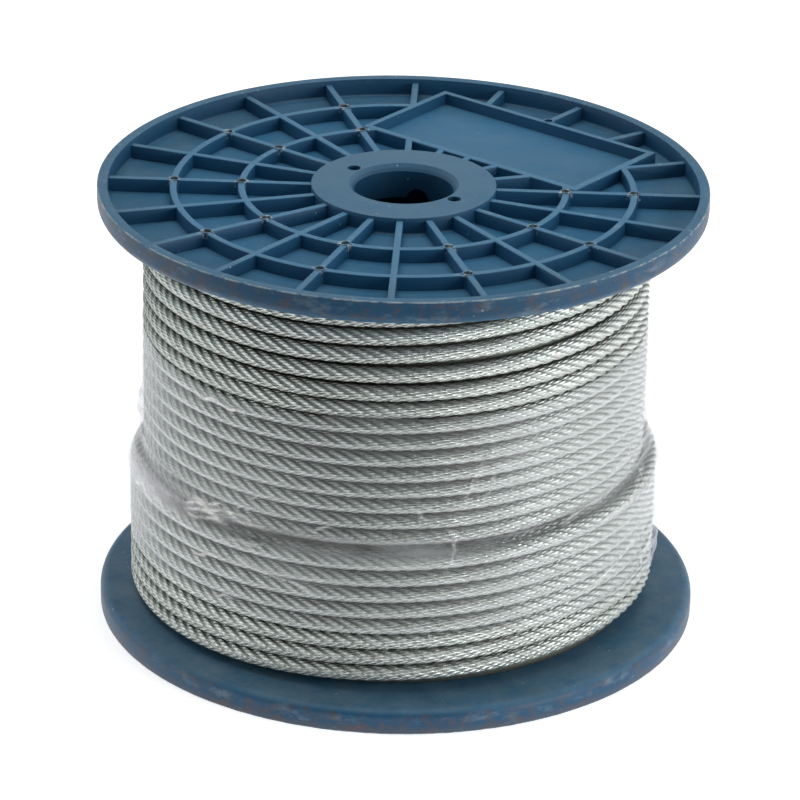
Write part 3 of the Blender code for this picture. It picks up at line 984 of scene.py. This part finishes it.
def zinc_rope():
    """Galvanized steel wire rope: dull grey zinc, a painted highlight line on each strand's crest, dashes
    from single wires, and painted shade in the grooves and between the turns.
    """
    made, tree = new_material("galvanized_wire_rope")
    strands = add(tree, "UVMap", uv_map="strands").outputs[0]
    place = add(tree, "TexCoord").outputs["Object"]
    split = add(tree, "SeparateXYZ", {"Vector": strands})
    level = add(tree, "Attribute", attribute_name="level_on_turn", attribute_type="GEOMETRY").outputs["Fac"]
    # Wires lie along the rope, so they turn back against the strands' twist
    turned_back = {0: split.outputs["X"], 1: -0.9 / (LAY / MM), 2: split.outputs["Y"]}
    around = add(tree, "Math", turned_back, operation="MULTIPLY_ADD").outputs[0]
    wires = add(tree, "Math", {0: around, 1: WIRES * math.pi}, operation="MULTIPLY")
    wire_wave = add(tree, "Math", {0: wires.outputs[0]}, operation="SINE")
    wire_round = add(tree, "Math", {0: wire_wave.outputs[0]}, operation="ABSOLUTE").outputs[0]
    whole_turn = STRANDS * 2.0 * math.pi
    strand_turn = add(tree, "Math", {0: split.outputs["Y"], 1: whole_turn}, operation="MULTIPLY")
    strand_wave = add(tree, "Math", {0: strand_turn.outputs[0]}, operation="COSINE").outputs[0]

    # Each wire has its own tone, which changes every few millimetres along it
    dash_along = add(tree, "Math", {0: split.outputs["X"], 1: 0.36}, operation="MULTIPLY").outputs[0]
    dash_across = add(tree, "Math", {0: around, 1: 1.6 * WIRES}, operation="MULTIPLY").outputs[0]
    dash_place = add(tree, "CombineXYZ", {"X": dash_along, "Y": dash_across}).outputs[0]
    dashes = add(tree, "TexNoise", {"Vector": dash_place, "Scale": 1.0, "Detail": 2.0}).outputs["Fac"]
    inputs = {"Vector": dash_place, "Location": (31.0, 17.0, 0.0), "Scale": (0.35, 0.3, 1.0)}
    tint_place = add(tree, "Mapping", inputs).outputs[0]
    tint = add(tree, "TexNoise", {"Vector": tint_place, "Scale": 1.0, "Detail": 3.0}).outputs["Fac"]

    # Ramps: what they follow, from and to, and their values there
    shares = {
        "dark dashes": (dashes, 0.44, 0.28, 0.0, 0.6),
        "brown tint": (tint, 0.52, 0.72, 0.0, 0.35),
        "between wires": (wire_round, 0.5, 0.0, 0.0, 0.4),
        "grooves": (strand_wave, -0.7, -1.0, 0.0, 0.45),
        "crests": (strand_wave, 0.62, 0.95, 0.0, 1.0),
        "bright dashes": (dashes, 0.34, 0.60, 0.1, 0.85),
        "under the turn above": (level, 0.45, 0.95, 0.0, 0.55),
        "over the turn below": (level, -0.78, -1.0, 0.0, 0.5),
        "roughness": (dashes, 0.3, 0.7, 0.48, 0.34),
    }
    for key, (value, from_min, from_max, to_min, to_max) in shares.items():
        inputs = {"Value": value, "From Min": from_min, "From Max": from_max}
        inputs.update({"To Min": to_min, "To Max": to_max})
        shares[key] = add(tree, "MapRange", inputs).outputs["Result"]
    layers = (
        (("dark dashes",), rgb("#63665F")),
        (("brown tint",), rgb("#8E7A60")),
        # Painted shade in the gaps between wires and in the grooves between strands
        (("between wires",), rgb("#4A4D46")),
        (("grooves",), rgb("#3A3C36")),
        # Painted highlight: a near-white line along each strand's crest, broken into dashes
        (("crests", "bright dashes"), rgb("#F2F5F2")),
        # Painted shade between the turns: darker under the turn above and over the turn below
        (("under the turn above",), rgb("#3C403A")),
        (("over the turn below",), rgb("#3C403A")),
    )
    patches = add(tree, "TexNoise", {"Vector": place, "Scale": per_mm(26), "Detail": 5.0, "Roughness": 0.6})
    greys = {0: patches.outputs["Fac"], 6: rgb("#CFD7D3"), 7: rgb("#EDF4F0")}
    bare = add(tree, "Mix", greys, data_type="RGBA").outputs[2]
    bump = add(tree, "Bump", {"Height": wire_round, "Strength": 1.0, "Distance": 0.16 * MM})
    shader = add(
        tree,
        "BsdfPrincipled",
        {
            "Base Color": painted(tree, bare, shares, layers),
            "Metallic": 0.9,
            "Roughness": shares["roughness"],
            "Normal": bump.outputs[0],
        },
    )
    add(tree, "OutputMaterial", {"Surface": shader.outputs[0]})
    return made


def shaded_rope():
    """The rope's lower layers: the same zinc, painted dark as painted shade, since they lie hardly lit deep
    between the turns above.
    """
    made, tree = new_material("wire_rope_in_painted_shade")
    place = add(tree, "TexCoord").outputs["Object"]
    spots = add(tree, "TexNoise", {"Vector": place, "Scale": per_mm(1.2), "Detail": 3.0})
    # Painted shade: dark greys stand in for the shade between the turns above
    greys = {0: spots.outputs["Fac"], 6: rgb("#4A4E47"), 7: rgb("#7A7D75")}
    colour = add(tree, "Mix", greys, data_type="RGBA").outputs[2]
    shader = add(tree, "BsdfPrincipled", {"Base Color": colour, "Metallic": 0.6, "Roughness": 0.5})
    add(tree, "OutputMaterial", {"Surface": shader.outputs[0]})
    return made


def clear_film():
    """Polyethylene stretch film, a few layers thick: glossy where it spans grooves, milky where slack, with
    painted highlight streaks and painted grey shade in the pocket off the rope.
    """
    made, tree = new_material("polyethylene_stretch_film")
    place = add(tree, "TexCoord").outputs["Object"]
    flattened = add(tree, "Mapping", {"Vector": place, "Scale": (1.0, 1.0, 4.0)}).outputs[0]
    state = add(tree, "Attribute", attribute_name="film_state", attribute_type="GEOMETRY")
    parts = add(tree, "SeparateColor", {"Color": state.outputs["Color"]})
    haze, streak, off = parts.outputs[0], parts.outputs[1], parts.outputs[2]

    # Patterns: where they lie, the size of their cells in mm, detail, roughness and distortion
    patterns = {
        "creases": (place, 8.0, 6.0, 0.6, 0.8),
        "ripples": (flattened, 6.0, 3.0, 0.5, 0.0),
        "patchy": (flattened, 16.0, 7.0, 0.68, 0.0),
        "torn": (place, 3.0, 4.0, 0.7, 0.0),
    }
    for key, (where, size, detail, roughness, distortion) in patterns.items():
        inputs = {"Vector": where, "Scale": per_mm(size), "Detail": detail, "Roughness": roughness}
        inputs["Distortion"] = distortion
        patterns[key] = add(tree, "TexNoise", inputs).outputs["Fac"]

    # The film shines in a band just below each crest, which is at 0.25 of the way from turn to turn
    shifted = add(tree, "Math", {0: state.outputs["Alpha"], 1: 0.25}, operation="ADD")
    fraction = add(tree, "Math", {0: shifted.outputs[0]}, operation="FRACT").outputs[0]
    spans = []
    for low, high in ((0.14, 0.32), (0.47, 0.37)):
        inputs = {"Value": fraction, "From Min": low, "From Max": high}
        spans.append(add(tree, "MapRange", inputs, interpolation_type="SMOOTHSTEP").outputs["Result"])
    spanning = add(tree, "Math", {0: spans[0], 1: spans[1]}, operation="MULTIPLY")
    spanning = add(tree, "Math", {0: spanning.outputs[0], 1: off}, operation="MAXIMUM").outputs[0]

    # Ramps: what they follow, from and to, and their values there
    shares = {
        "uneven": (patterns["patchy"], 0.36, 0.64, 0.35, 1.25),
        "broken": (patterns["torn"], 0.38, 0.52, 0.3, 0.95),
        "layers": (spanning, 0.0, 1.0, 0.8, 3.2),
    }
    for key, (value, from_min, from_max, to_min, to_max) in shares.items():
        inputs = {"Value": value, "From Min": from_min, "From Max": from_max}
        inputs.update({"To Min": to_min, "To Max": to_max})
        shares[key] = add(tree, "MapRange", inputs).outputs["Result"]

    # The veil adds up: a trace everywhere, the haze, the painted highlight streaks and the painted grey
    # shade of the pocket off the rope
    veil = add(tree, "Math", {0: haze, 1: shares["uneven"]}, operation="MULTIPLY")
    for share, strength in ((streak, shares["broken"]), (off, 0.6)):
        veil = add(tree, "Math", {0: share, 1: strength, 2: veil.outputs[0]}, operation="MULTIPLY_ADD")
    veil = add(tree, "Math", {0: veil.outputs[0], 1: 0.015}, operation="ADD", use_clamp=True)

    folds = {0: patterns["creases"], 1: 0.5, 2: patterns["ripples"]}
    relief = add(tree, "Math", folds, operation="MULTIPLY_ADD").outputs[0]
    bump = add(tree, "Bump", {"Height": relief, "Strength": 0.5, "Distance": 0.6 * MM}).outputs[0]
    # Painted shade: the milky tone turns grey in the pocket off the rope
    tone = add(tree, "Mix", {0: off, 6: rgb("#DFE3E3"), 7: rgb("#8C9092")}, data_type="RGBA")
    # Painted highlight: the milky tone turns near white along the streaks
    tone = add(tree, "Mix", {0: streak, 6: tone.outputs[2], 7: rgb("#FFFEF8")}, data_type="RGBA").outputs[2]
    clear = add(tree, "BsdfTransparent", {"Color": (0.97, 0.975, 0.98, 1.0)})
    milky = add(tree, "BsdfPrincipled", {"Base Color": tone, "Roughness": 0.4, "IOR": 1.5, "Normal": bump})
    veiled = add(tree, "MixShader", {0: veil.outputs[0], 1: clear.outputs[0], 2: milky.outputs[0]})
    gloss = add(tree, "BsdfGlossy", {"Color": (0.95, 0.95, 1.0, 1.0), "Roughness": 0.24, "Normal": bump})
    fresnel = add(tree, "Fresnel", {"IOR": 1.5, "Normal": bump})
    mirror = add(tree, "Math", {0: fresnel.outputs[0], 1: shares["layers"]}, operation="MULTIPLY")
    mirror = add(tree, "Math", {0: mirror.outputs[0], 1: 0.32}, operation="MINIMUM")
    surface = add(tree, "MixShader", {0: mirror.outputs[0], 1: veiled.outputs[0], 2: gloss.outputs[0]})
    add(tree, "OutputMaterial", {"Surface": surface.outputs[0]})
    return made


def pale_floor():
    """White acrylic light table, with a painted glow: it glows a little under and behind the reel and not
    towards the camera, and away from the reel it is painted grey as painted shade of a dim room.
    """
    made, tree = new_material("pale_floor")
    place = add(tree, "TexCoord").outputs["Object"]
    inputs = {"Vector": place, "Location": (0.0, -0.25, 0.0), "Scale": (0.6, 1.0, 1.0)}
    spread = add(tree, "Mapping", inputs).outputs[0]
    away = add(tree, "VectorMath", {0: spread}, operation="LENGTH").outputs["Value"]
    # Painted glow and painted shade: bright and glowing near the reel, grey away from it
    dim = add(tree, "MapRange", {"Value": away, "From Min": 0.46, "From Max": 0.70}).outputs["Result"]
    colour = add(tree, "Mix", {0: dim, 6: rgb("#FAFAFA"), 7: rgb("#7A7A7A")}, data_type="RGBA")
    glow = add(tree, "MapRange", {"Value": dim, "To Min": 0.55, "To Max": 0.0})
    shader = add(
        tree,
        "BsdfPrincipled",
        {
            "Base Color": colour.outputs[2],
            "Roughness": 0.8,
            "Emission Color": (1.0, 1.0, 1.0, 1.0),
            "Emission Strength": glow.outputs["Result"],
        },
    )
    add(tree, "OutputMaterial", {"Surface": shader.outputs[0]})
    return made


# Floor, lights and camera


def floor():
    bm = bmesh.new()
    bmesh.ops.create_grid(bm, x_segments=1, y_segments=1, size=6.0)
    made = link("floor", mesh_of("floor", bm))
    made.data.materials.append(pale_floor())


def soft_light(name, place, aim, size, power):
    data = bpy.data.lights.new(name, "AREA")
    data.shape = "RECTANGLE"
    data.size = size[0]
    data.size_y = size[1]
    data.energy = power
    lamp = link(name, data)
    lamp.location = place
    lamp.rotation_euler = (Vector(aim) - Vector(place)).to_track_quat("-Z", "Y").to_euler()


def studio():
    """A white studio, brightest at both sides and darkest behind the camera, with a soft light above."""
    world = bpy.data.worlds.new("studio")
    bpy.context.scene.world = world
    world.use_nodes = True
    tree = world.node_tree
    tree.nodes.clear()
    direction = add(tree, "TexCoord").outputs["Generated"]
    split = add(tree, "SeparateXYZ", {"Vector": direction})
    sideways = add(tree, "Math", {0: split.outputs["X"], 1: 4.0}, operation="POWER")
    inputs = {"Value": split.outputs["Z"], "From Min": 0.15, "From Max": 0.75, "To Min": 1.9, "To Max": 0.7}
    low = add(tree, "MapRange", inputs)
    behind = add(tree, "MapRange", {"Value": split.outputs["Y"], "To Min": 0.07, "To Max": 0.42})
    glow = add(
        tree,
        "Math",
        {0: sideways.outputs[0], 1: low.outputs["Result"], 2: behind.outputs["Result"]},
        operation="MULTIPLY_ADD",
    )
    sky = add(tree, "Background", {"Color": (1.0, 1.0, 1.0, 1.0), "Strength": glow.outputs[0]})
    add(tree, "OutputWorld", {"Surface": sky.outputs[0]})
    soft_light("overhead", (0.0, 0.12, 1.3), (0.0, 0.0, 0.08), (1.2, 1.2), 9.8)
    soft_light("right_front", (1.05, -0.75, 0.35), (0.0, 0.0, 0.08), (0.5, 0.7), 6.6)


def camera():
    """The photograph's view: 24.4 degrees above the horizon from the front, rolled a little."""
    data = bpy.data.cameras.new("photo_view")
    data.sensor_width = 36.0
    data.lens = CAMERA_LENS
    data.clip_end = 20.0
    made = link("photo_view", data)
    elevation = math.radians(CAMERA_ELEVATION)
    roll = math.radians(CAMERA_ROLL)
    back = Vector((0.0, -math.cos(elevation), math.sin(elevation)))
    right = Vector((1.0, 0.0, 0.0))
    up = back.cross(right)
    across = math.cos(roll) * right - math.sin(roll) * up
    above = math.sin(roll) * right + math.cos(roll) * up
    target = Vector((0.2 * MM, 0.0, 75.9 * MM))
    turned = Matrix((across, above, back)).transposed().to_4x4()
    made.matrix_world = Matrix.Translation(target + CAMERA_DISTANCE * back) @ turned
    bpy.context.scene.camera = made


def dress():
    top, bottom = flanges()
    top.data.materials.append(blue_plastic("blue_polypropylene_top", REEL_HEIGHT, 1.0, 0.16))
    bottom.data.materials.append(blue_plastic("blue_polypropylene_bottom", 0.0, -1.0, 0.42))
    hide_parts("flange_top")
    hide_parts("flange_bottom")
    turns = rope()
    zinc = zinc_rope()
    for piece in turns:
        piece.data.materials.clear()
        piece.data.materials.append(zinc)
    layers = core()
    layers.data.materials.append(shaded_rope())
    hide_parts("rope_winding")
    wrap = film()
    wrap.data.materials.append(clear_film())
    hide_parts("stretch_film")
    for piece in (top, bottom, *turns, layers, wrap):
        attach(piece, "root")
    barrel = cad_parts["barrel"]
    barrel.data.materials.clear()
    barrel.data.materials.append(blue_plastic("blue_polypropylene_barrel", 1.0, 1.0, 0.1))


floor()
studio()
camera()
dress()
bpy.context.scene.view_settings.view_transform = "Standard"
